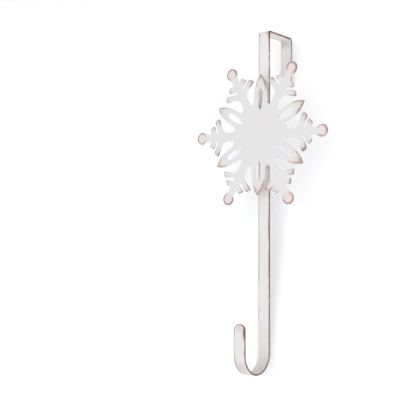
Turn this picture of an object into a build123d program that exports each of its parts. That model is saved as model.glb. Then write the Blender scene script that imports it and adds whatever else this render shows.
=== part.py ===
from build123d import *
import os
from math import cos, radians, sin, tan

os.makedirs("parts", exist_ok=True)

# Over-the-door wreath hanger: a bent flat bar that carries a snowflake cut from sheet.
# The origin is at the centre of the top bar's underside, which rests on the door's top edge.
# +Z is up, and the front, the snowflake and the hook face -Y. Millimetres and degrees.

# Flat bar
bar_width = 16.0
bar_thickness = 2.0
bar_edge_break = 0.3

# Saddle over the door
door_gap = 45.5
flange_drop = 58.0
front_bend_radius = 0.8
back_bend_radius = 3.0

# Hook at the foot of the long drop
hanger_height = 415.0
hook_gap = 46.0
hook_tip_rise = 60.5
tip_arch_height = 6.5

# Snowflake sheet and where it stands on the bar
plate_thickness = 1.5
flake_drop = 127.0
flake_turn = 2.0
arm_count = 6

# Arm of the snowflake, from its ball inwards
ball_reach = 89.0
ball_radius = 7.5
neck_length = 11.0
neck_half_width = 4.4
arm_half_width = 5.0

# Blades that leave the arm in pairs: a short knob and a longer branch
blade_width = 6.9
blade_lean = 68.5
blade_end_skew = 17.5
knob_setback = 4.66
knob_length = 14.0
blade_pitch = 10.9
branch_length = 23.4
notch_floor = 4.4

# Roundings of the arm's outline
knob_heel_radius = 2.4
blade_corner_radius = 1.7
notch_roundness = 0.985
branch_heel_radius = 10.0
crotch_radius = 3.9

# Petal between two arms, and the eye cut through it; the holds and fullnesses shape their curves
petal_reach = 73.5
petal_half_width = 9.4
petal_straight = 1.0
petal_side_hold = 0.48
petal_tip_hold = 0.19
petal_tip_fullness = 0.62
eye_inner_reach = 30.0
eye_tip_web = 17.0
eye_half_width = 3.9
eye_inner_hold = 0.23
eye_inner_fullness = 1.08
eye_outer_hold = 0.09
eye_outer_fullness = 1.55

# Welded spacers between the bar and the sheet
spacer_length = 8.5
spacer_radius = 4.0
spacer_spread = 28.0
weld_leg = 1.0

# Bends of the bar, its hook and its front face, where the spacers stand
half_gap = door_gap / 2
bar_front_y = -half_gap - bar_thickness
foot_z = bar_thickness - hanger_height
hook_outer_radius = hook_gap / 2 + bar_thickness
hook_centre_y = -half_gap - hook_outer_radius
hook_centre_z = foot_z + hook_outer_radius
hook_leg_front_y = hook_centre_y - hook_outer_radius
tip_z = foot_z + hook_tip_rise
plate_back_y = bar_front_y - spacer_length

# Angles that the outline is drawn with, and the roots of the blades behind the heel of the knob
half_turn = radians(180 / arm_count)
lean_angle = radians(blade_lean)
neck_reach = ball_reach - neck_length
knob_heel = neck_reach - knob_setback
knob_root = knob_heel - blade_width / 2 / sin(lean_angle) - neck_half_width / tan(lean_angle)
branch_root = knob_root - blade_pitch

# The notch between two blades is nearly a full round, so its two corners share its floor
notch_width = blade_pitch - blade_width / sin(lean_angle)
notch_radius = notch_roundness * notch_width / (tan(lean_angle / 2) + 1 / tan(lean_angle / 2))

# Bent flat bar: back flange, top bar, long drop and hook, drawn along the face that meets the door
with BuildPart() as hanger_strap:
    with BuildSketch(Plane.YZ):
        with BuildLine():
            saddle = FilletPolyline(
                (half_gap, -flange_drop),
                (half_gap, 0),
                (-half_gap, 0),
                (-half_gap, hook_centre_z),
                radius=(back_bend_radius, front_bend_radius),
            )
            curl = CenterArc((hook_centre_y, hook_centre_z), hook_outer_radius, 0, -180)
            Line(curl @ 1, (hook_leg_front_y, tip_z))
            offset(amount=bar_thickness, side=Side.RIGHT)
        make_face()
    extrude(amount=bar_width / 2, both=True)

    # The hook's end is cut to a low arch
    with BuildSketch(Plane.XZ.offset(-hook_centre_y)):
        with BuildLine():
            arch = ThreePointArc(
                (-bar_width / 2, tip_z - tip_arch_height),
                (0, tip_z),
                (bar_width / 2, tip_z - tip_arch_height),
            )
            Polyline(
                arch @ 1,
                (bar_width, tip_z - tip_arch_height),
                (bar_width, tip_z + bar_thickness),
                (-bar_width, tip_z + bar_thickness),
                (-bar_width, tip_z - tip_arch_height),
                arch @ 0,
            )
        make_face()
    extrude(amount=2 * hook_outer_radius, mode=Mode.SUBTRACT)

    # The edges round both sides of the bar are broken
    side_faces = hanger_strap.faces().filter_by(Axis.X)
    chamfer(side_faces.edges(), bar_edge_break)
hanger_strap.part.label = "hanger_strap"


def blade_side(root, side, height):
    """Point on a blade's left (-1) or right (+1) side at a height above the arm's axis."""
    x = root + side * blade_width / 2 / sin(lean_angle) + height / tan(lean_angle)
    return (x, height)


def blade_end(root, length, side):
    """Corner of a blade's end, which is cut askew and so is longer on its left side."""
    along = length - side * blade_width / 2 * tan(radians(blade_end_skew))
    across = side * blade_width / 2
    x = root + along * cos(lean_angle) + across * sin(lean_angle)
    return (x, along * sin(lean_angle) - across * cos(lean_angle))


def on_petal(along, across):
    """Point given along and across the petal's axis, seen in the arm's own axes."""
    x = along * cos(half_turn) + across * sin(half_turn)
    return (x, along * sin(half_turn) - across * cos(half_turn))


# One arm with the near halves of its two petals, its axis along X
crotch_along = (arm_half_width + petal_half_width * cos(half_turn)) / sin(half_turn)
petal_start = crotch_along + crotch_radius / tan(half_turn / 2) + petal_straight
petal_run = petal_reach - petal_start

with BuildLine() as arm_outline:
    neck_rise = ball_radius - neck_half_width
    neck_radius = (neck_length**2 + neck_half_width**2 - ball_radius**2) / (2 * neck_rise)
    neck_centre = Vector(neck_reach, neck_half_width + neck_radius)
    ball_centre = Vector(ball_reach, 0)
    ball_end = ball_centre + (neck_centre - ball_centre).normalized() * ball_radius
    ball_side = ThreePointArc((ball_reach + ball_radius, 0), (ball_reach, ball_radius), ball_end)
    neck = TangentArc(ball_side @ 1, (neck_reach, neck_half_width), tangent=ball_side % 1)
    FilletPolyline(
        neck @ 1,
        blade_side(knob_root, 1, neck_half_width),
        blade_end(knob_root, knob_length, 1),
        blade_end(knob_root, knob_length, -1),
        blade_side(knob_root, -1, notch_floor),
        blade_side(branch_root, 1, notch_floor),
        blade_end(branch_root, branch_length, 1),
        blade_end(branch_root, branch_length, -1),
        blade_side(branch_root, -1, arm_half_width),
        on_petal(crotch_along, petal_half_width),
        on_petal(petal_start, petal_half_width),
        radius=(
            knob_heel_radius,
            blade_corner_radius,
            blade_corner_radius,
            notch_radius,
            notch_radius,
            blade_corner_radius,
            blade_corner_radius,
            branch_heel_radius,
            crotch_radius,
        ),
    )
    Bezier(
        on_petal(petal_start, petal_half_width),
        on_petal(petal_start + petal_side_hold * petal_run, petal_half_width),
        on_petal(petal_reach - petal_tip_hold * petal_run, petal_tip_fullness * petal_half_width),
        on_petal(petal_reach, 0),
    )
    mirror(about=Plane.XZ)

# Eye of a petal: long and pointed towards the centre, blunt towards the tip
eye_outer_reach = petal_reach - eye_tip_web
eye_run = eye_outer_reach - eye_inner_reach
with BuildSketch() as petal_eye:
    with BuildLine():
        Bezier(
            (eye_inner_reach, 0),
            (eye_inner_reach + eye_inner_hold * eye_run, eye_inner_fullness * eye_half_width),
            (eye_outer_reach - eye_outer_hold * eye_run, eye_outer_fullness * eye_half_width),
            (eye_outer_reach, 0),
        )
        mirror(about=Plane.XZ)
    make_face()

# Snowflake cut from sheet, facing forwards and standing slightly turned
flake_right = (cos(radians(flake_turn)), 0, -sin(radians(flake_turn)))
flake_plane = Plane(origin=(0, plate_back_y, -flake_drop), x_dir=flake_right, z_dir=(0, -1, 0))
with BuildPart() as snowflake_plate:
    with BuildSketch(flake_plane):
        with BuildLine():
            with PolarLocations(0, arm_count):
                add(arm_outline.line)
        make_face()
        with PolarLocations(0, arm_count, start_angle=180 / arm_count):
            add(petal_eye.sketch, mode=Mode.SUBTRACT)
    extrude(amount=plate_thickness)
snowflake_plate.part.label = "snowflake_plate"

# Short round spacers, with a weld bead where each meets the bar and the sheet
spacer_heights = {
    "upper_spacer": -flake_drop + spacer_spread / 2,
    "lower_spacer": -flake_drop - spacer_spread / 2,
}
bead_radius = spacer_radius + weld_leg
spacers = []
for spacer_name, height in spacer_heights.items():
    foot = (0, bar_front_y, height)
    with BuildPart() as spacer:
        with BuildSketch(Plane(origin=foot, x_dir=(1, 0, 0), z_dir=(0, 0, -1))):
            with BuildLine():
                Polyline(
                    (0, 0),
                    (bead_radius, 0),
                    (spacer_radius, weld_leg),
                    (spacer_radius, spacer_length - weld_leg),
                    (bead_radius, spacer_length),
                    (0, spacer_length),
                    close=True,
                )
            make_face()
        revolve(axis=Axis(foot, (0, -1, 0)))
    spacer.part.label = spacer_name
    spacers.append(spacer)

for piece in (hanger_strap, snowflake_plate, *spacers):
    export_step(piece.part, f"parts/{piece.part.label}.step")
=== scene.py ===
"""An over-the-door wreath hanger in white paint that was rubbed back to copper brown along its edges.

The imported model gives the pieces, and this file gives each of them its finish and sets the wall, the floor,
the lamps and the camera. Sizes are in metres, in the frame of the model: the top bar rests on the door's top
edge at z = 0, the bar's width lies along X, and the snowflake and the hook face -Y.
"""
import logging
import math
from collections.abc import Callable
from dataclasses import dataclass, field
from enum import Enum
from typing import ClassVar

import bpy
from mathutils import Matrix, Vector

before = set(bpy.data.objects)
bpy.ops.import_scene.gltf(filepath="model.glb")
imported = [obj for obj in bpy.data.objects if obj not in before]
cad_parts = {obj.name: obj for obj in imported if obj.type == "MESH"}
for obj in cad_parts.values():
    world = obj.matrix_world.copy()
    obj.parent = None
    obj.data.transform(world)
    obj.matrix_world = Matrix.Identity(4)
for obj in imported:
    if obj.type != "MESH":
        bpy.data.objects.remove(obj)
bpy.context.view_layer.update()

Colour = tuple[float, float, float]
Point = tuple[float, float, float]
Socket = bpy.types.NodeSocket
Value = float | Socket
Ramp = tuple[float, ...]  # Where a soft step starts and ends, then its low and its high

LOG = logging.getLogger("wreath_hanger")
NOISE_MIDDLE = 0.5
NODE_COLUMNS = 12
NODE_PITCH = (180, 220)


class Node(Enum):
    """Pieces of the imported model, by the name of their node."""

    STRAP = "hanger_strap"
    FLAKE = "snowflake_plate"
    UPPER_SPACER = "upper_spacer"
    LOWER_SPACER = "lower_spacer"


class Kind(Enum):
    """Kinds of value that go in and out of a node group."""

    NUMBER = "NodeSocketFloat"
    VECTOR = "NodeSocketVector"
    COLOUR = "NodeSocketColor"


class Wiring:
    """Adds nodes to one node tree and joins them up."""

    def __init__(self, tree: bpy.types.NodeTree) -> None:
        """Takes the tree that the nodes go into.

        Args:
            tree: A material's tree or a node group.
        """
        self.tree = tree
        self.count = 0

    def node(self, kind: str, **settings: object) -> bpy.types.Node:
        """Adds one node.

        Args:
            kind: Blender's name for the node.
            settings: Properties of the node to set.

        Returns:
            The new node.
        """
        made = self.tree.nodes.new(kind)
        for name, value in settings.items():
            setattr(made, name, value)
        row, column = divmod(self.count, NODE_COLUMNS)
        made.location = (column * NODE_PITCH[0], -row * NODE_PITCH[1])
        self.count += 1
        return made

    def feed(self, target: Socket, value: object) -> None:
        """Joins a socket to another one, or sets it to a plain value.

        Args:
            target: The input to feed.
            value: An output socket, a number or a tuple of numbers.
        """
        if isinstance(value, Socket):
            self.tree.links.new(value, target)
        elif isinstance(value, tuple) and target.type == "RGBA":
            target.default_value = (*value, 1.0)
        else:
            target.default_value = value

    def math(self, operation: str, *values: Value, clamp: bool = False) -> Socket:
        """Works out one sum.

        Args:
            operation: Blender's name for the sum, such as ADD.
            values: What goes in, in order.
            clamp: Whether the result is kept between 0 and 1.

        Returns:
            The result.
        """
        node = self.node("ShaderNodeMath", operation=operation, use_clamp=clamp)
        for target, value in zip(node.inputs, values):
            self.feed(target, value)
        return node.outputs[0]

    def add(self, first: Value, second: Value) -> Socket:
        """Returns first plus second."""
        return self.math("ADD", first, second)

    def subtract(self, first: Value, second: Value) -> Socket:
        """Returns first minus second."""
        return self.math("SUBTRACT", first, second)

    def multiply(self, first: Value, second: Value) -> Socket:
        """Returns first times second."""
        return self.math("MULTIPLY", first, second)

    def length(self, first: Value, second: Value) -> Socket:
        """Returns the length of the hypotenuse over two sides."""
        return self.math("SQRT", self.add(self.multiply(first, first), self.multiply(second, second)))

    def most(self, *values: Value) -> Socket:
        """Finds the largest of some values.

        Args:
            values: What is compared.

        Returns:
            The largest of them.
        """
        result = values[0]
        for value in values[1:]:
            result = self.math("MAXIMUM", result, value)
        return result

    def ramp(self, value: Value, start: Value, end: Value, low: Value = 0.0, high: Value = 1.0) -> Socket:
        """Turns a value into a soft step.

        Args:
            value: What is measured.
            start: Where the step begins.
            end: Where the step is complete.
            low: The result at start and before.
            high: The result at end and after.

        Returns:
            The step's height at the value.
        """
        node = self.node("ShaderNodeMapRange", interpolation_type="SMOOTHSTEP")
        settings = {"Value": value, "From Min": start, "From Max": end, "To Min": low, "To Max": high}
        for name, given in settings.items():
            self.feed(node.inputs[name], given)
        return node.outputs["Result"]

    def parts(self, vector: Socket) -> tuple[Socket, Socket, Socket]:
        """Splits a vector into its parts.

        Args:
            vector: The vector.

        Returns:
            Its parts along X, Y and Z.
        """
        node = self.node("ShaderNodeSeparateXYZ")
        self.feed(node.inputs[0], vector)
        return node.outputs[0], node.outputs[1], node.outputs[2]

    def distance(self, vector: Socket, centre: Point) -> Socket:
        """Measures how far a place lies from a point.

        Args:
            vector: The place.
            centre: The point.

        Returns:
            The distance.
        """
        node = self.node("ShaderNodeVectorMath", operation="DISTANCE")
        self.feed(node.inputs[0], vector)
        self.feed(node.inputs[1], centre)
        return node.outputs["Value"]

    def stretch(self, vector: Socket, scale: Point) -> Socket:
        """Scales a place along each axis.

        Args:
            vector: The place.
            scale: What it is multiplied by along each axis.

        Returns:
            The scaled place.
        """
        node = self.node("ShaderNodeVectorMath", operation="MULTIPLY")
        self.feed(node.inputs[0], vector)
        self.feed(node.inputs[1], scale)
        return node.outputs["Vector"]

    def stretched_distance(self, vector: Socket, centre: Point, lengths: Point) -> Socket:
        """Works out a distance in which some directions count for less.

        Args:
            vector: The place.
            centre: The point that it is measured from.
            lengths: How many times as far as it counts the measure reaches along each axis.

        Returns:
            The distance.
        """
        squeezed = self.stretch(vector, tuple(1.0 / length for length in lengths))
        return self.distance(squeezed, tuple(place / length for place, length in zip(centre, lengths)))

    def noise(self, vector: Socket, scale: Value, detail: float = 2.0, roughness: float = 0.5) -> Socket:
        """Reads smooth noise, which lies round its middle of one half.

        Args:
            vector: Where the noise is read.
            scale: Blotches to the metre.
            detail: How many finer layers lie on the first.
            roughness: How strong the finer layers are.

        Returns:
            The noise, between 0 and 1.
        """
        node = self.node("ShaderNodeTexNoise")
        settings = {"Vector": vector, "Scale": scale, "Detail": detail, "Roughness": roughness}
        for name, given in settings.items():
            self.feed(node.inputs[name], given)
        return node.outputs["Fac"]

    def blend(self, share: Value, first: object, second: object) -> Socket:
        """Mixes two colours.

        Args:
            share: How much of the second colour shows.
            first: The colour at a share of 0.
            second: The colour at a share of 1.

        Returns:
            The mixed colour.
        """
        node = self.node("ShaderNodeMix", data_type="RGBA")
        self.feed(node.inputs["Factor"], share)
        for name, colour in (("A", first), ("B", second)):
            self.feed(next(s for s in node.inputs if s.name == name and s.type == "RGBA"), colour)
        return next(s for s in node.outputs if s.type == "RGBA")

    def group(self, tree: bpy.types.NodeTree, **values: object) -> bpy.types.Node:
        """Places a node group and feeds its inputs.

        Args:
            tree: The group.
            values: What its inputs get, by name, with underscores for spaces.

        Returns:
            The placed group.
        """
        node = self.node("ShaderNodeGroup", node_tree=tree)
        for name, value in values.items():
            self.feed(node.inputs[name.replace("_", " ").capitalize()], value)
        return node


@dataclass(frozen=True)
class Port:
    """One named input or output of a node group."""

    name: str
    kind: Kind = Kind.NUMBER


def make_group(
    name: str,
    takes: tuple[Port, ...],
    gives: tuple[Port, ...],
    fill: Callable[[Wiring, dict[str, Socket]], dict[str, Socket]],
) -> bpy.types.NodeTree:
    """Makes a node group from its ports and the function that wires it.

    Args:
        name: The group's name.
        takes: Its inputs.
        gives: Its outputs.
        fill: Wires the group: it is given the inputs by name and returns the outputs by name.

    Returns:
        The group.
    """
    tree = bpy.data.node_groups.new(name, "ShaderNodeTree")
    for ports, way in ((takes, "INPUT"), (gives, "OUTPUT")):
        for port in ports:
            tree.interface.new_socket(port.name, in_out=way, socket_type=port.kind.value)
    wiring = Wiring(tree)
    entry = wiring.node("NodeGroupInput")
    results = fill(wiring, {port.name: entry.outputs[port.name] for port in takes})
    leave = wiring.node("NodeGroupOutput")
    for port_name, socket in results.items():
        wiring.feed(leave.inputs[port_name], socket)
    return tree


@dataclass(frozen=True)
class FlakeShape:
    """Sizes of the snowflake that its wear follows.

    A rub says how strongly each place is handled, and an end says where the stained ends begin. Both run out
    along an arm or a petal in metres, and along a blade in shares of its length.
    """

    front_y: float = -0.0347
    centre_height: float = -0.127
    turn: float = math.radians(2.0)
    sector: float = math.radians(30.0)
    ball_reach: float = 0.0890
    ball_radius: float = 0.0075
    arm_half_width: float = 0.0050
    neck_half_width: float = 0.0044
    neck_reach: float = 0.0780
    blade_half_width: float = 0.00345
    blade_lean: float = math.radians(68.5)
    blade_skew: float = math.radians(17.5)
    knob_root: float = 0.0679
    knob_length: float = 0.0140
    branch_root: float = 0.0570
    branch_length: float = 0.0234
    petal_start: float = 0.0418
    petal_reach: float = 0.0735
    petal_half_width: float = 0.0094
    petal_fullness: float = 2.8
    corner_softness: float = 0.0015
    blade_margin: Ramp = (-0.0006, -0.0003)
    outline_margin: Ramp = (-0.0006, 0.0)
    ball_squeeze: float = 0.85
    ball_rub: Ramp = (0.0810, 0.0885, 0.1, 1.0)
    petal_rub: Ramp = (0.050, 0.070)
    knob_rub: Ramp = (0.55, 0.95, 0.0, 0.55)
    branch_rub: Ramp = (0.45, 0.95, 0.0, 0.65)
    petal_end: Ramp = (0.061, 0.072)
    knob_end: Ramp = (0.70, 1.05)
    branch_end: Ramp = (0.72, 1.02)

    def axes_group(self) -> bpy.types.NodeTree:
        """Makes the group that folds the snowflake onto one half arm.

        Returns:
            A group from a position to the places along and across the nearest arm and the nearest petal.
        """

        def fill(w: Wiring, given: dict[str, Socket]) -> dict[str, Socket]:
            """Wires the group.

            Args:
                w: The group's wiring.
                given: Its inputs.

            Returns:
                Its outputs.
            """
            x, _, z = w.parts(given["Position"])
            height = w.subtract(z, self.centre_height)
            right = w.subtract(w.multiply(x, math.cos(self.turn)), w.multiply(height, math.sin(self.turn)))
            up = w.add(w.multiply(x, math.sin(self.turn)), w.multiply(height, math.cos(self.turn)))
            radius = w.length(right, up)
            angle = w.math("PINGPONG", w.math("ARCTAN2", up, right), self.sector)
            rest = w.subtract(self.sector, angle)
            return {
                "Along arm": w.multiply(radius, w.math("COSINE", angle)),
                "Across arm": w.multiply(radius, w.math("SINE", angle)),
                "Along petal": w.multiply(radius, w.math("COSINE", rest)),
                "Across petal": w.multiply(radius, w.math("SINE", rest)),
                "Right": right,
                "Up": up,
            }

        gives = ("Along arm", "Across arm", "Along petal", "Across petal", "Right", "Up")
        return make_group("Snowflake axes", (Port("Position", Kind.VECTOR),), tuple(map(Port, gives)), fill)

    def blade_group(self) -> bpy.types.NodeTree:
        """Makes the group that measures one blade of an arm.

        Returns:
            A group from the place along and across an arm to the distance in from the blade's outline and
            the share of the blade's length that is passed.
        """

        def fill(w: Wiring, given: dict[str, Socket]) -> dict[str, Socket]:
            """Wires the group.

            Args:
                w: The group's wiring.
                given: Its inputs.

            Returns:
                Its outputs.
            """
            ahead = w.subtract(given["Along arm"], given["Root"])
            lean_cos, lean_sin = math.cos(self.blade_lean), math.sin(self.blade_lean)
            height = w.add(w.multiply(ahead, lean_cos), w.multiply(given["Across arm"], lean_sin))
            across = w.subtract(w.multiply(ahead, lean_sin), w.multiply(given["Across arm"], lean_cos))
            side = w.subtract(self.blade_half_width, w.math("ABSOLUTE", across))
            end = w.subtract(given["Length"], w.multiply(across, math.tan(self.blade_skew)))
            tip = w.multiply(w.subtract(end, height), math.cos(self.blade_skew))
            inside = w.math("SMOOTH_MIN", side, tip, self.corner_softness)
            near = w.ramp(inside, *self.blade_margin)
            return {"Inset": inside, "Share": w.multiply(near, w.math("DIVIDE", height, given["Length"]))}

        takes = tuple(map(Port, ("Along arm", "Across arm", "Root", "Length")))
        return make_group("Blade of the snowflake", takes, (Port("Inset"), Port("Share")), fill)

    def edges(
        self, w: Wiring, place: bpy.types.Node, blade: bpy.types.NodeTree
    ) -> tuple[Socket, Socket, Socket]:
        """Wires how far in from the outline each place lies and how near it is to a free end.

        Args:
            w: The material's wiring.
            place: The placed group of the snowflake's axes.
            blade: The group of one blade.

        Returns:
            The inset from the outline, the exposure, which is 1 at the ends that hands rub, and the stain at
            the very ends of the petals and blades.
        """
        along, across = place.outputs["Along arm"], place.outputs["Across arm"]
        reach, aside = place.outputs["Along petal"], place.outputs["Across petal"]
        ball = w.subtract(self.ball_radius, w.length(w.subtract(along, self.ball_reach), across))
        arm_width = w.ramp(along, self.knob_root, self.neck_reach, self.arm_half_width, self.neck_half_width)
        arm = w.math("MINIMUM", w.subtract(arm_width, across), w.subtract(self.ball_reach, along))
        on_arm = {"along_arm": along, "across_arm": across}
        knob = w.group(blade, **on_arm, root=self.knob_root, length=self.knob_length)
        branch = w.group(blade, **on_arm, root=self.branch_root, length=self.branch_length)

        # A petal's half width falls off as a power of the way from its straight part to its tip
        run = self.petal_reach - self.petal_start
        way = w.math("DIVIDE", w.subtract(reach, self.petal_start), run, clamp=True)
        width = w.multiply(w.subtract(1.0, w.math("POWER", way, self.petal_fullness)), self.petal_half_width)
        steep = self.petal_half_width / run * self.petal_fullness
        slope = w.multiply(w.math("POWER", way, self.petal_fullness - 1.0), steep)
        petal = w.math("DIVIDE", w.subtract(width, aside), w.length(1.0, slope))

        blade_insets = (knob.outputs["Inset"], branch.outputs["Inset"])
        inset = w.most(w.multiply(ball, self.ball_squeeze), arm, *blade_insets, petal)
        in_ball = w.ramp(ball, *self.outline_margin)
        in_petal = w.ramp(petal, *self.outline_margin)
        exposure = w.most(
            w.multiply(in_ball, w.ramp(along, *self.ball_rub)),
            w.multiply(in_petal, w.ramp(reach, *self.petal_rub)),
            w.ramp(knob.outputs["Share"], *self.knob_rub),
            w.ramp(branch.outputs["Share"], *self.branch_rub),
        )
        ends = w.most(
            w.multiply(in_petal, w.ramp(reach, *self.petal_end)),
            w.ramp(knob.outputs["Share"], *self.knob_end),
            w.ramp(branch.outputs["Share"], *self.branch_end),
        )
        return inset, exposure, ends


@dataclass(frozen=True)
class BarShape:
    """Sizes of the bent bar that its wear follows."""

    half_width: float = 0.008
    front_y: float = -0.02475
    top_z: float = 0.002
    hook_centre_y: float = -0.04775
    leg_y: float = -0.07275
    tip_z: float = -0.3525
    tip_rise: float = 0.0065
    flange_end_z: float = -0.058
    flange_y: float = 0.015

    def edges(self, w: Wiring, position: Socket) -> Socket:
        """Wires how far in from the nearest edge of the bar each place lies.

        Args:
            w: The material's wiring.
            position: The place on the bar.

        Returns:
            The inset from the edge.
        """
        x, y, z = w.parts(position)
        side = w.subtract(self.half_width, w.math("ABSOLUTE", x))
        arch_radius = (self.half_width**2 + self.tip_rise**2) / (2 * self.tip_rise)
        above = w.math("MAXIMUM", w.subtract(z, self.tip_z - arch_radius), 0.0)
        arch = w.subtract(arch_radius, w.length(x, above))
        off_leg = w.math("GREATER_THAN", y, self.hook_centre_y)
        off_flange = w.math("LESS_THAN", y, self.flange_y)
        tip = w.add(arch, off_leg)
        end = w.add(w.subtract(z, self.flange_end_z), off_flange)
        return w.math("MINIMUM", side, w.math("MINIMUM", tip, end))


@dataclass(frozen=True)
class EdgeWear:
    """How far and how strongly a piece's edges are rubbed.

    A brown line runs along the edge, and a paler wash fades out behind it. Both end raggedly, and both come
    and go in broad strokes.
    """

    line_depth: float
    line_share: float
    wash_depth: float
    wash_share: float
    wash_fill: float = 0.0
    ragged_scale: float = 650.0
    broad_scale: float = 95.0


@dataclass(frozen=True)
class KeptPaint:
    """One stretch of the bar's edge that kept some of its paint."""

    core: ClassVar[float] = 0.4

    centre: Point
    radius: float
    share: float
    lengths: Point = (1.0, 1.0, 1.0)

    def spare(self, w: Wiring, position: Socket, bare: Value) -> Socket:
        """Wires how much of the edge is still bare round this stretch.

        Args:
            w: The material's wiring.
            position: The place on the bar.
            bare: How bare the edge is without this stretch.

        Returns:
            How bare the edge is with it.
        """
        away = w.stretched_distance(position, self.centre, self.lengths)
        return w.multiply(bare, w.ramp(away, self.core * self.radius, self.radius, 1.0 - self.share, 1.0))


@dataclass(frozen=True)
class RubSpot:
    """One place where the paint has another colour than round it: thinner or stained, or painted lighter or
    darker as painted light and painted shade.
    """

    core: ClassVar[float] = 0.15

    centre: Point
    radius: float
    colour: Colour
    strength: float
    lengths: Point = (1.0, 1.0, 1.0)

    def lay(self, w: Wiring, position: Socket, ground: Socket, patch: Socket, mask: Value) -> Socket:
        """Wires the spot over the paint.

        Args:
            w: The material's wiring.
            position: The place on the piece.
            ground: The colour below.
            patch: Noise that breaks the spot's outline.
            mask: Where the spot can take hold, from 0 to 1.

        Returns:
            The colour with the spot on it.
        """
        away = w.stretched_distance(position, self.centre, self.lengths)
        reach = w.multiply(w.add(patch, NOISE_MIDDLE), self.radius)
        share = w.ramp(away, w.multiply(reach, self.core), reach, self.strength, 0.0)
        return w.blend(w.multiply(share, mask), ground, self.colour)


@dataclass
class Paintwork:
    """Node groups that every painted piece shares, with the steps that their noise is cut at."""

    ground: bpy.types.NodeTree = field(init=False)
    rubbed: bpy.types.NodeTree = field(init=False)
    cloud: Ramp = (0.35, 0.65)
    cloud_detail: float = 3.0
    streak: Ramp = (0.40, 0.70, 0.0, 0.45)
    streak_scale: Point = (1.0, 1.0, 0.12)
    speck: Ramp = (0.72, 0.80, 0.0, 0.30)
    speck_detail: float = 1.0
    skin_scale: float = 2.2
    skin_roughness: float = 0.6
    skin_share: float = 0.6
    ragged_detail: float = 3.0
    ragged_roughness: float = 0.6
    stroke: Ramp = (0.34, 0.58, 0.45, 1.15)
    line_swing: float = 1.6
    line_least: float = 0.2
    line_core: float = 0.4

    def __post_init__(self) -> None:
        """Makes the groups."""
        self.ground = self._ground_group()
        self.rubbed = self._rubbed_group()

    def _ground_group(self) -> bpy.types.NodeTree:
        """Makes the group of the sprayed white paint.

        Returns:
            A group from a position to the paint's colour and the height of its skin.
        """

        def fill(w: Wiring, given: dict[str, Socket]) -> dict[str, Socket]:
            """Wires the group.

            Args:
                w: The group's wiring.
                given: Its inputs.

            Returns:
                Its outputs.
            """
            position = given["Position"]
            cloud = w.ramp(w.noise(position, given["Cloud scale"], self.cloud_detail), *self.cloud)
            streak = w.noise(w.stretch(position, self.streak_scale), given["Streak scale"])
            speck = w.ramp(w.noise(position, given["Speck scale"], self.speck_detail), *self.speck)
            colour = w.blend(cloud, given["Paint"], given["Thin paint"])
            colour = w.blend(w.ramp(streak, *self.streak), colour, given["Cool paint"])
            colour = w.blend(speck, colour, given["Speck"])
            skin_scale = w.multiply(given["Speck scale"], self.skin_scale)
            skin = w.noise(position, skin_scale, roughness=self.skin_roughness)
            fine, coarse = w.multiply(skin, self.skin_share), w.multiply(streak, 1.0 - self.skin_share)
            return {"Colour": colour, "Skin": w.add(fine, coarse)}

        takes = (
            Port("Position", Kind.VECTOR),
            *(Port(name, Kind.COLOUR) for name in ("Paint", "Thin paint", "Cool paint", "Speck")),
            *map(Port, ("Cloud scale", "Streak scale", "Speck scale")),
        )
        return make_group("Sprayed paint", takes, (Port("Colour", Kind.COLOUR), Port("Skin")), fill)

    def _rubbed_group(self) -> bpy.types.NodeTree:
        """Makes the group of an edge whose paint was rubbed off by hand.

        Returns:
            A group from the inset and the exposure to a line along the edge, a wash inside it and the
            noise that broke them.
        """

        def fill(w: Wiring, given: dict[str, Socket]) -> dict[str, Socket]:
            """Wires the group.

            Args:
                w: The group's wiring.
                given: Its inputs.

            Returns:
                Its outputs.
            """
            position, exposure = given["Position"], given["Exposure"]
            ragged = w.noise(position, given["Ragged scale"], self.ragged_detail, self.ragged_roughness)
            stroke = w.ramp(w.noise(position, given["Broad scale"]), *self.stroke)
            inset = w.math("ABSOLUTE", given["Inset"])
            depth = w.add(w.multiply(ragged, self.line_swing), self.line_least)
            depth = w.multiply(given["Line depth"], depth)
            line = w.ramp(inset, w.multiply(depth, self.line_core), depth, 1.0, 0.0)
            line = w.multiply(line, exposure)
            wash_depth = w.multiply(given["Wash depth"], w.add(ragged, NOISE_MIDDLE))
            wash = w.multiply(w.ramp(inset, 0.0, wash_depth, 1.0, given["Wash fill"]), exposure)
            return {
                "Line": w.math("MULTIPLY", line, stroke, clamp=True),
                "Wash": w.math("MULTIPLY", wash, stroke, clamp=True),
                "Ragged": ragged,
                "Stroke": stroke,
            }

        takes = (
            Port("Position", Kind.VECTOR),
            *map(Port, ("Inset", "Exposure", "Line depth", "Wash depth", "Wash fill")),
            *map(Port, ("Ragged scale", "Broad scale")),
        )
        return make_group("Rubbed edge", takes, tuple(map(Port, ("Line", "Wash", "Ragged", "Stroke"))), fill)


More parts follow.
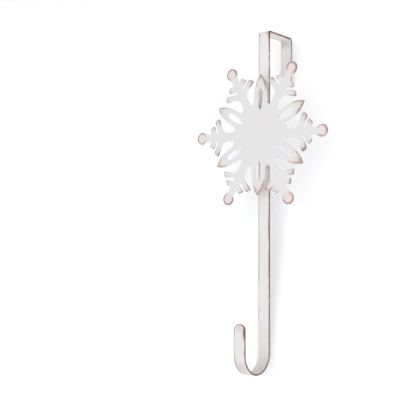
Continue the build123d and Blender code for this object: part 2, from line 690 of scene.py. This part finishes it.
@dataclass(frozen=True)
class PaintFinish:
    """Colours and depths of the white paint and of what shows where it is rubbed off."""

    paint: Colour = (0.800, 0.792, 0.786)
    thin_paint: Colour = (0.810, 0.785, 0.768)
    cool_paint: Colour = (0.785, 0.795, 0.790)
    speck: Colour = (0.60, 0.50, 0.44)
    wash: Colour = (0.92, 0.69, 0.61)
    peach: Colour = (0.76, 0.59, 0.46)
    pale_peach: Colour = (0.92, 0.84, 0.77)
    stain: Colour = (0.57, 0.37, 0.31)
    rose: Colour = (0.60, 0.34, 0.34)
    pale_grey: Colour = (0.700, 0.720, 0.725)
    # Painted shade laid into a corner
    painted_corner_shade: Colour = (0.30, 0.28, 0.265)
    # Painted shade for the bar close behind the snowflake
    painted_deep_shade: Colour = (0.060, 0.055, 0.050)
    brown: Colour = (0.200, 0.120, 0.100)
    deep_brown: Colour = (0.090, 0.040, 0.035)
    copper: Colour = (0.70, 0.34, 0.19)
    burnt: Colour = (0.030, 0.014, 0.010)
    rust: Colour = (0.140, 0.050, 0.046)
    red: Colour = (0.20, 0.05, 0.055)
    tarnish: Colour = (0.35, 0.14, 0.09)
    # Painted light: a paler white laid where the bar should look more lit
    painted_light: Colour = (0.930, 0.905, 0.915)
    cloud_scale: float = 38.0
    streak_scale: float = 420.0
    speck_scale: float = 900.0
    brown_turn: Ramp = (0.40, 0.66)
    paint_roughness: float = 0.58
    brown_roughness: float = 0.42
    roughness_swing: float = 0.16
    brown_metallic: float = 0.25
    bump_strength: float = 0.5
    skin_depth: float = 0.00004
    skin_height: float = 0.8
    paint_height: float = 1.5


class PaintedMaterial:
    """One material that is built up from the paint to the bare metal."""

    def __init__(self, name: str, finish: PaintFinish, groups: Paintwork) -> None:
        """Lays the paint's own colour.

        Args:
            name: The material's name.
            finish: The paint.
            groups: The shared node groups.
        """
        self.finish = finish
        self.groups = groups
        self.material = bpy.data.materials.new(name)
        self.material.use_nodes = True
        self.material.node_tree.nodes.clear()
        self.wiring = Wiring(self.material.node_tree)
        w = self.wiring
        self.position = w.node("ShaderNodeTexCoord").outputs["Object"]
        self.normal = w.node("ShaderNodeNewGeometry").outputs["True Normal"]
        names = ("paint", "thin_paint", "cool_paint", "speck", "cloud_scale", "streak_scale", "speck_scale")
        look = {name: getattr(finish, name) for name in names}
        ground = w.group(groups.ground, position=self.position, **look)
        self.colour = ground.outputs["Colour"]
        self.skin = ground.outputs["Skin"]
        self.bare: Value = 0.0

    def rub(self, inset: Value, exposure: Value, wear: EdgeWear, tints_and_painted_light: tuple[RubSpot, ...]) -> bpy.types.Node:
        """Rubs the paint off along an edge.

        Args:
            inset: How far in from the edge each place lies.
            exposure: How strongly each place is rubbed, from 0 to 1.
            wear: How far in the wear reaches.
            tints_and_painted_light: Places where the paint has another colour, with the painted light and
                painted shade, under the line along the edge.

        Returns:
            The placed group, for more wear from its noise.
        """
        w = self.wiring
        names = ("line_depth", "wash_depth", "wash_fill", "ragged_scale", "broad_scale")
        reach = {name: getattr(wear, name) for name in names}
        place = {"position": self.position, "inset": inset, "exposure": exposure}
        rubbed = w.group(self.groups.rubbed, **place, **reach)
        wash = w.multiply(rubbed.outputs["Wash"], wear.wash_share)
        self.colour = w.blend(wash, self.colour, self.finish.wash)
        self.spots(tints_and_painted_light, rubbed.outputs["Ragged"])
        self.lay_brown(w.multiply(rubbed.outputs["Line"], wear.line_share), rubbed.outputs["Ragged"])
        return rubbed

    def lay_brown(self, share: Value, ragged: Socket) -> None:
        """Shows the brown metal under the paint.

        Args:
            share: How much of it shows at each place.
            ragged: Noise that turns it from brown to deep brown.
        """
        w, finish = self.wiring, self.finish
        brown = w.blend(w.ramp(ragged, *finish.brown_turn), finish.brown, finish.deep_brown)
        self.colour = w.blend(share, self.colour, brown)
        self.bare = w.math("MAXIMUM", self.bare, share)

    def spots(self, spots: tuple[RubSpot, ...], patch: Socket, mask: Value = 1.0) -> None:
        """Lays the places where the paint has another colour.

        Args:
            spots: The places.
            patch: Noise that breaks their outlines.
            mask: Where they can take hold, from 0 to 1.
        """
        for spot in spots:
            self.colour = spot.lay(self.wiring, self.position, self.colour, patch, mask)

    def close(self) -> bpy.types.Material:
        """Joins the colours and heights to the shader.

        Returns:
            The finished material.
        """
        w, finish = self.wiring, self.finish
        shader = w.node("ShaderNodeBsdfPrincipled")
        w.feed(shader.inputs["Base Color"], self.colour)
        roughness = w.add(
            w.multiply(w.subtract(self.skin, NOISE_MIDDLE), finish.roughness_swing),
            w.ramp(self.bare, 0.0, 1.0, finish.paint_roughness, finish.brown_roughness),
        )
        w.feed(shader.inputs["Roughness"], roughness)
        if isinstance(self.bare, Socket):
            w.feed(shader.inputs["Metallic"], w.multiply(self.bare, finish.brown_metallic))
        bump = w.node("ShaderNodeBump")
        bump.inputs["Strength"].default_value = finish.bump_strength
        bump.inputs["Distance"].default_value = finish.skin_depth
        skin, worn = w.multiply(self.skin, finish.skin_height), w.multiply(self.bare, finish.paint_height)
        w.feed(bump.inputs["Height"], w.subtract(skin, worn))
        w.feed(shader.inputs["Normal"], bump.outputs["Normal"])
        end = w.node("ShaderNodeOutputMaterial")
        w.feed(end.inputs["Surface"], shader.outputs[0])
        return self.material


def dress(node: Node, material: bpy.types.Material) -> None:
    """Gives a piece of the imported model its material.

    Args:
        node: The piece.
        material: What it is finished with.
    """
    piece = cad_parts[node.value]
    piece.data.materials.clear()
    piece.data.materials.append(material)
    LOG.info("dressed %s with %s", node.value, material.name)


@dataclass
class HangerStrap:
    """The bent flat bar: flange, top bar, long drop and hook.

    The paint held on all round in the sheltered stretches, and on the sheared sides alone in the kept ones.
    """

    shape: BarShape = field(default_factory=BarShape)
    finish: PaintFinish = PaintFinish(
        paint=(0.848, 0.820, 0.794),
        thin_paint=(0.846, 0.796, 0.770),
        cool_paint=(0.796, 0.802, 0.788),
    )
    hook_wear: float = 1.15
    hook_wear_run: float = 0.018
    flange_wear: float = 0.5
    facing_side: Ramp = (0.45, 0.75)
    cover_stretch: Point = (1.0, 1.0, 0.25)
    cover_scale: float = 260.0
    cover_detail: float = 3.0
    cover_roughness: float = 0.6
    cover: Ramp = (0.34, 0.62, 1.0, 0.70)
    long_streak: Point = (1.0, 1.0, 14.0)
    wear: EdgeWear = EdgeWear(line_depth=0.0011, line_share=0.86, wash_depth=0.0026, wash_share=0.35)
    sheltered: tuple[KeptPaint, ...] = (
        KeptPaint((0.008, -0.024, -0.172), 0.026, 0.75),
        KeptPaint((-0.008, -0.027, -0.38), 0.04, 0.8, (0.3, 1.0, 1.0)),
    )
    kept: tuple[KeptPaint, ...] = (
        KeptPaint((0.008, 0.024, -0.05), 0.04, 0.75),
        KeptPaint((0.008, -0.024, -0.045), 0.04, 0.5),
        KeptPaint((0.008, -0.03, -0.39), 0.036, 0.45),
    )

    def _tints_and_painted_light(self) -> tuple[RubSpot, ...]:
        """Lists the places on the bar's faces where the paint has another colour, painted light and painted
        shade among them.

        Returns:
            The thinner and stained places, the painted light and the painted shade, from the lowest layer up.
        """
        bar, paint = self.shape, self.finish
        near = bar.half_width
        return (
            # Painted light: the bar's upper front is painted paler, in place of the lamps' light that falls
            # off up there
            RubSpot((0.0, bar.front_y, -0.04), 0.042, paint.painted_light, 0.6),
            # Partly a pale peach rub where the top bar sits on the door, partly painted light: the underside
            # is painted brighter in place of light from below
            RubSpot((0.0, bar.front_y + 0.018, 0.0), 0.028, paint.pale_peach, 0.9),
            RubSpot((0.0, bar.leg_y, bar.tip_z), 0.012, paint.peach, 0.85),
            RubSpot((0.0, -0.055, -0.4115), 0.024, paint.stain, 0.22),
            RubSpot((-0.002, -0.027, -0.38), 0.03, paint.pale_grey, 0.22, (1.0, 1.0, 1.6)),
            RubSpot((0.004, -0.036, -0.4075), 0.01, paint.wash, 0.25),
            RubSpot((-0.003, -0.068, -0.403), 0.0165, paint.stain, 0.38),
            RubSpot((-near, -0.065, -0.401), 0.0028, paint.brown, 0.75, (1.0, 9.0, 9.0)),
            RubSpot((-0.004, -0.039, -0.4092), 0.005, paint.pale_peach, 0.9),
            RubSpot((-near, bar.front_y, -0.288), 0.0026, paint.rose, 0.85, self.long_streak),
            RubSpot((-near, bar.front_y, -0.262), 0.0018, paint.brown, 0.85, (1.0, 1.0, 48.0)),
            RubSpot((-near, bar.front_y, -0.03), 0.0016, paint.brown, 0.6, (1.0, 1.0, 28.0)),
            RubSpot((0.001, bar.front_y + 0.0022, bar.top_z), 0.0024, paint.brown, 0.62, (8.0, 1.0, 1.0)),
            RubSpot((-near, bar.front_y, -0.002), 0.0036, paint.brown, 0.6, (1.0, 1.0, 1.6)),
            # Painted light: the bar behind the snowflake's lower half and just above its top petal is painted
            # paler, lifting the snowflake's shadow on it
            RubSpot((0.003, bar.front_y, -0.175), 0.013, paint.painted_light, 0.7),
            RubSpot((0.004, bar.front_y, -0.052), 0.014, paint.painted_light, 0.6),
            RubSpot((-near, bar.leg_y, -0.361), 0.0026, paint.brown, 0.6, (1.0, 1.0, 3.0)),
            # Painted shade: grey in the inner corner where the flange meets the top bar
            RubSpot((-0.004, 0.02275, -0.002), 0.011, paint.painted_corner_shade, 0.35),
            # Painted shade: near-black on the bar close behind the snowflake's middle, where it shows through
            # the upper and lower eyes
            RubSpot((-0.0072, bar.front_y, -0.0925), 0.0052, paint.painted_deep_shade, 0.95, (1.0, 0.3, 1.0)),
            RubSpot((-0.0078, bar.front_y, -0.157), 0.0036, paint.painted_deep_shade, 0.95, (1.0, 0.3, 2.4)),
        )

    def _stains(self) -> tuple[RubSpot, ...]:
        """Lists what spreads from the bare edges onto the broad faces.

        Returns:
            The copper, the rust and the brown.
        """
        bar, paint = self.shape, self.finish
        near = bar.half_width
        return (
            RubSpot((near - 0.001, bar.front_y + 0.006, 0.0), 0.009, paint.copper, 0.6),
            RubSpot((near - 0.001, bar.front_y, -0.001), 0.0052, paint.copper, 0.5, (1.0, 1.0, 1.3)),
            RubSpot((near, 0.0165, 0.0), 0.0042, paint.brown, 0.75, (1.0, 2.0, 1.0)),
            RubSpot((near, bar.front_y, -0.28), 0.0022, paint.rust, 0.6, self.long_streak),
            RubSpot((near, bar.front_y, -0.238), 0.0028, paint.tarnish, 0.85, (1.0, 1.0, 9.0)),
            RubSpot((near, bar.front_y, -0.004), 0.0024, paint.deep_brown, 0.75, (1.0, 1.0, 6.0)),
            RubSpot((near, bar.leg_y, bar.tip_z - 0.01), 0.005, paint.red, 0.92, (1.0, 1.0, 2.6)),
        )

    def _side_stains(self) -> tuple[RubSpot, ...]:
        """Lists the darker stretches of the bar's sheared side.

        Returns:
            The stretches.
        """
        bar, paint = self.shape, self.finish
        near = bar.half_width
        return (
            RubSpot((near, bar.front_y, bar.top_z), 0.012, paint.burnt, 1.0),
            RubSpot((near, bar.front_y + 0.03, bar.top_z), 0.03, paint.deep_brown, 0.6),
            RubSpot((near, 0.024, 0.0), 0.014, paint.deep_brown, 0.85),
            RubSpot((near, bar.front_y, -0.28), 0.0055, paint.rust, 0.95, self.long_streak),
            RubSpot((near, bar.leg_y, bar.tip_z - 0.01), 0.0065, paint.red, 0.95, (1.0, 1.0, 2.6)),
        )

    def build(self, groups: Paintwork) -> None:
        """Dresses the bar.

        Args:
            groups: The shared node groups.
        """
        made = PaintedMaterial("rubbed_paint_bar", self.finish, groups)
        w, hook_y = made.wiring, self.shape.hook_centre_y
        _, depth, _ = w.parts(made.position)
        handled = w.ramp(depth, hook_y, hook_y - self.hook_wear_run, 1.0, self.hook_wear)
        handled = w.multiply(handled, w.ramp(depth, 0.0, self.shape.flange_y, 1.0, self.flange_wear))
        for stretch in self.sheltered:
            handled = stretch.spare(w, made.position, handled)
        rubbed = made.rub(self.shape.edges(w, made.position), handled, self.wear, self._tints_and_painted_light())

        # The bar's sheared sides are bare but for the patches that kept a little paint
        across, _, _ = w.parts(made.normal)
        on_side = w.ramp(w.math("ABSOLUTE", across), *self.facing_side)
        cover_place = w.stretch(made.position, self.cover_stretch)
        cover = w.noise(cover_place, self.cover_scale, self.cover_detail, self.cover_roughness)
        bare = w.multiply(on_side, w.ramp(cover, *self.cover))
        for stretch in (*self.kept, *self.sheltered):
            bare = stretch.spare(w, made.position, bare)
        made.lay_brown(bare, rubbed.outputs["Ragged"])
        made.spots(self._stains(), rubbed.outputs["Ragged"])
        made.spots(self._side_stains(), rubbed.outputs["Ragged"], on_side)
        dress(Node.STRAP, made.close())


@dataclass
class SnowflakePlate:
    """The snowflake that is cut from sheet."""

    shape: FlakeShape = field(default_factory=FlakeShape)
    finish: PaintFinish = field(default_factory=PaintFinish)
    wear: EdgeWear = EdgeWear(
        line_depth=0.0024, line_share=0.60, wash_depth=0.0075, wash_share=0.66, wash_fill=0.45
    )
    stain_share: float = 0.36
    left_rub: float = 0.80
    right_rub: float = 1.28
    facing_front: Ramp = (0.35, 0.75, 1.0, 0.0)
    edge_bare: Ramp = (0.0, 0.6, 0.0, 0.95)

    def _spots(self) -> tuple[RubSpot, ...]:
        """Lists the ends of the snowflake that were rubbed hardest.

        Returns:
            The rubbed places, all on its front.
        """
        front, paint = self.shape.front_y, self.finish
        return (
            RubSpot((0.0655, front, -0.1527), 0.0072, paint.brown, 0.72),
            RubSpot((0.0649, front, -0.0925), 0.015, paint.stain, 0.12),
            RubSpot((0.0623, front, -0.166), 0.016, paint.stain, 0.6),
            RubSpot((0.0, front, -0.055), 0.008, paint.stain, 0.35),
            RubSpot((0.0427, front, -0.0586), 0.012, paint.wash, 0.4),
            RubSpot((0.045, front, -0.203), 0.0105, paint.wash, 0.45),
        )

    def build(self, groups: Paintwork) -> None:
        """Dresses the snowflake.

        Args:
            groups: The shared node groups.
        """
        made = PaintedMaterial("rubbed_paint_snowflake", self.finish, groups)
        w = made.wiring
        place = w.group(self.shape.axes_group(), position=made.position)
        inset, exposure, ends = self.shape.edges(w, place, self.shape.blade_group())

        # The right-hand side was rubbed harder
        reach = self.shape.ball_reach
        harder = w.ramp(place.outputs["Right"], -reach, reach, self.left_rub, self.right_rub)
        rubbed = made.rub(inset, w.multiply(exposure, harder), self.wear, ())
        stain = w.multiply(w.multiply(ends, harder), rubbed.outputs["Stroke"])
        stain = w.math("MULTIPLY", stain, self.stain_share, clamp=True)
        made.colour = w.blend(stain, made.colour, self.finish.stain)
        made.spots(self._spots(), rubbed.outputs["Ragged"])

        # The cut edge is bare at the free ends and still painted near the middle
        _, facing, _ = w.parts(made.normal)
        on_edge = w.ramp(w.math("ABSOLUTE", facing), *self.facing_front)
        bare = w.multiply(w.ramp(exposure, *self.edge_bare), rubbed.outputs["Stroke"])
        made.lay_brown(w.math("MULTIPLY", on_edge, bare, clamp=True), rubbed.outputs["Ragged"])
        dress(Node.FLAKE, made.close())


@dataclass
class Spacers:
    """The two welded spacers behind the snowflake."""

    finish: PaintFinish = field(default_factory=PaintFinish)

    def build(self, groups: Paintwork) -> None:
        """Dresses both spacers.

        Args:
            groups: The shared node groups.
        """
        material = PaintedMaterial("sprayed_paint_spacer", self.finish, groups).close()
        for node in (Node.UPPER_SPACER, Node.LOWER_SPACER):
            dress(node, material)


@dataclass(frozen=True)
class Lamp:
    """One soft lamp that stands round the hanger and looks at it."""

    name: str
    azimuth: float
    elevation: float
    distance: float
    size: float
    power: float
    colour: Colour = (1.0, 1.0, 1.0)

    def place(self, aim: Vector) -> None:
        """Sets the lamp up.

        Args:
            aim: What it looks at.
        """
        data = bpy.data.lights.new(self.name, "AREA")
        data.shape = "DISK"
        data.size = self.size
        data.energy = self.power
        data.color = self.colour
        lamp = bpy.data.objects.new(self.name, data)
        away = outward(self.azimuth, self.elevation)
        lamp.location = aim + away * self.distance
        lamp.rotation_euler = away.to_track_quat("Z", "Y").to_euler()
        lamp.visible_camera = False
        bpy.context.scene.collection.objects.link(lamp)


def outward(azimuth: float, elevation: float) -> Vector:
    """Finds the direction from the hanger to a viewer.

    Args:
        azimuth: Degrees round from -Y towards +X.
        elevation: Degrees above the level.

    Returns:
        A vector of length 1.
    """
    round_angle, rise = math.radians(azimuth), math.radians(elevation)
    level = math.cos(rise)
    return Vector((math.sin(round_angle) * level, -math.cos(round_angle) * level, math.sin(rise)))


@dataclass(frozen=True)
class Studio:
    """The white wall, the pale floor and the soft lamps.

    The wall leans, because the hanger nearly touches it with its flange and its foot. Its white glows a
    little, and it glows least in the slanting band where the bar's shadow falls.
    """

    flange_touch_y: float = 0.0272
    flange_touch_z: float = -0.058
    foot_touch_y: float = -0.0197
    foot_touch_z: float = -0.392
    wall_half_width: float = 1.3
    wall_top: float = 0.75
    floor_z: float = -1.30
    floor_front: float = -1.6
    white: Colour = (0.790, 0.795, 0.815)
    shade_lift: float = 0.11
    foot_lift: float = 0.27
    upper_lift: float = 0.33
    side_lift: float = 0.33
    band_lean: float = 0.1157
    band_foot_x: float = -0.0058
    band_foot_z: float = -0.371
    left_of_band: Ramp = (0.008, -0.008)
    right_of_band: Ramp = (0.002, 0.047)
    below_band: Ramp = (-0.402, -0.416)
    shade_run: Ramp = (-0.250, -0.400)
    upper_run: Ramp = (-0.225, -0.150)
    sky: Colour = (0.97, 0.98, 1.0)
    sky_strength: float = 0.62
    aim: Point = (0.0, -0.03, -0.20)
    lamps: tuple[Lamp, ...] = (
        Lamp("key_lamp", -6.0, 18.0, 1.7, 1.8, 8.2),
        Lamp("right_lamp", 65.0, -30.0, 1.5, 0.9, 10.7),
    )

    def _white_material(self) -> bpy.types.Material:
        """Makes the white of the wall and floor, which can be looked through from behind.

        Returns:
            The material.
        """
        material = bpy.data.materials.new("studio_white")
        material.use_nodes = True
        material.node_tree.nodes.clear()
        w = Wiring(material.node_tree)
        matt = w.node("ShaderNodeBsdfDiffuse")
        w.feed(matt.inputs["Color"], self.white)
        path = w.node("ShaderNodeLightPath")
        seen = w.most(*(path.outputs[f"Is {kind} Ray"] for kind in ("Camera", "Glossy", "Transmission")))
        glow = w.node("ShaderNodeEmission")
        across, _, height = w.parts(w.node("ShaderNodeTexCoord").outputs["Object"])
        shade = w.ramp(height, *self.shade_run, self.shade_lift, self.foot_lift)
        lift = w.ramp(height, *self.upper_run, shade, self.upper_lift)
        slant = w.multiply(w.subtract(height, self.band_foot_z), self.band_lean)
        beside = w.subtract(w.add(across, slant), self.band_foot_x)
        for start, end in (self.left_of_band, self.right_of_band):
            lift = w.most(lift, w.ramp(beside, start, end, shade, self.side_lift))
        lift = w.most(lift, w.ramp(height, *self.below_band, shade, self.side_lift))
        w.feed(glow.inputs["Strength"], w.multiply(seen, lift))
        both = w.node("ShaderNodeAddShader")
        w.feed(both.inputs[0], matt.outputs[0])
        w.feed(both.inputs[1], glow.outputs[0])
        sides = w.node("ShaderNodeMixShader")
        w.feed(sides.inputs[0], w.node("ShaderNodeNewGeometry").outputs["Backfacing"])
        w.feed(sides.inputs[1], both.outputs[0])
        w.feed(sides.inputs[2], w.node("ShaderNodeBsdfTransparent").outputs[0])
        end = w.node("ShaderNodeOutputMaterial")
        w.feed(end.inputs["Surface"], sides.outputs[0])
        return material

    def _sheet(self, name: str, corners: tuple[Point, ...], material: bpy.types.Material) -> None:
        """Sets up one flat sheet of the studio.

        Args:
            name: The sheet's name.
            corners: Its corners, anticlockwise as seen from its front.
            material: What it is finished with.
        """
        mesh = bpy.data.meshes.new(name)
        mesh.from_pydata(corners, [], [tuple(range(len(corners)))])
        mesh.materials.append(material)
        sheet = bpy.data.objects.new(name, mesh)
        bpy.context.scene.collection.objects.link(sheet)

    def _wall_y(self, height: float) -> float:
        """Returns where the leaning wall stands at a height."""
        slope = (self.flange_touch_y - self.foot_touch_y) / (self.flange_touch_z - self.foot_touch_z)
        return self.flange_touch_y + slope * (height - self.flange_touch_z)

    def build(self) -> None:
        """Sets up the wall, the floor, the lamps and the light of the room."""
        material = self._white_material()
        wide, top, low, near = self.wall_half_width, self.wall_top, self.floor_z, self.floor_front
        foot, head = self._wall_y(low), self._wall_y(top)
        wall = ((-wide, foot, low), (wide, foot, low), (wide, head, top), (-wide, head, top))
        floor = ((-wide, near, low), (wide, near, low), (wide, foot, low), (-wide, foot, low))
        self._sheet("studio_wall", wall, material)
        self._sheet("studio_floor", floor, material)
        for lamp in self.lamps:
            lamp.place(Vector(self.aim))
        world = bpy.data.worlds.new("studio_room")
        world.use_nodes = True
        background = world.node_tree.nodes["Background"]
        background.inputs["Color"].default_value = (*self.sky, 1.0)
        background.inputs["Strength"].default_value = self.sky_strength
        scene = bpy.context.scene
        scene.world = world
        scene.view_settings.view_transform = "Standard"
        LOG.info("studio built with %d lamps", len(self.lamps))


@dataclass(frozen=True)
class Viewpoint:
    """The camera, as it stood for the photograph."""

    target: Point = (-0.10828, 0.0, -0.20802)
    azimuth: float = 39.43
    elevation: float = -4.38
    roll: float = 0.31
    distance: float = 1.2102
    focal_pixels: float = 930.0
    frame_pixels: float = 415.0
    sensor_width: float = 36.0

    def build(self) -> None:
        """Makes the camera and turns it on the hanger."""
        back = outward(self.azimuth, self.elevation)
        level = outward(self.azimuth + 90.0, 0.0)
        upright = back.cross(level)
        turn = math.radians(self.roll)
        right = level * math.cos(turn) + upright * math.sin(turn)
        up = upright * math.cos(turn) - level * math.sin(turn)
        data = bpy.data.cameras.new("photograph_camera")
        data.sensor_width = self.sensor_width
        data.lens = self.focal_pixels / self.frame_pixels * self.sensor_width
        camera = bpy.data.objects.new("photograph_camera", data)
        axes = Matrix((right, up, back)).transposed().to_4x4()
        camera.matrix_world = Matrix.Translation(Vector(self.target) + back * self.distance) @ axes
        bpy.context.scene.collection.objects.link(camera)
        bpy.context.scene.camera = camera
        LOG.info("camera built with a lens of %.1f mm", data.lens)


def main() -> None:
    """Builds the hanger's finishes, the studio and the camera, in order."""
    logging.basicConfig(level=logging.INFO, format="%(name)s: %(message)s")
    groups = Paintwork()
    for piece in (HangerStrap(), SnowflakePlate(), Spacers()):
        piece.build(groups)
    Studio().build()
    Viewpoint().build()


if __name__ == "__main__":
    main()
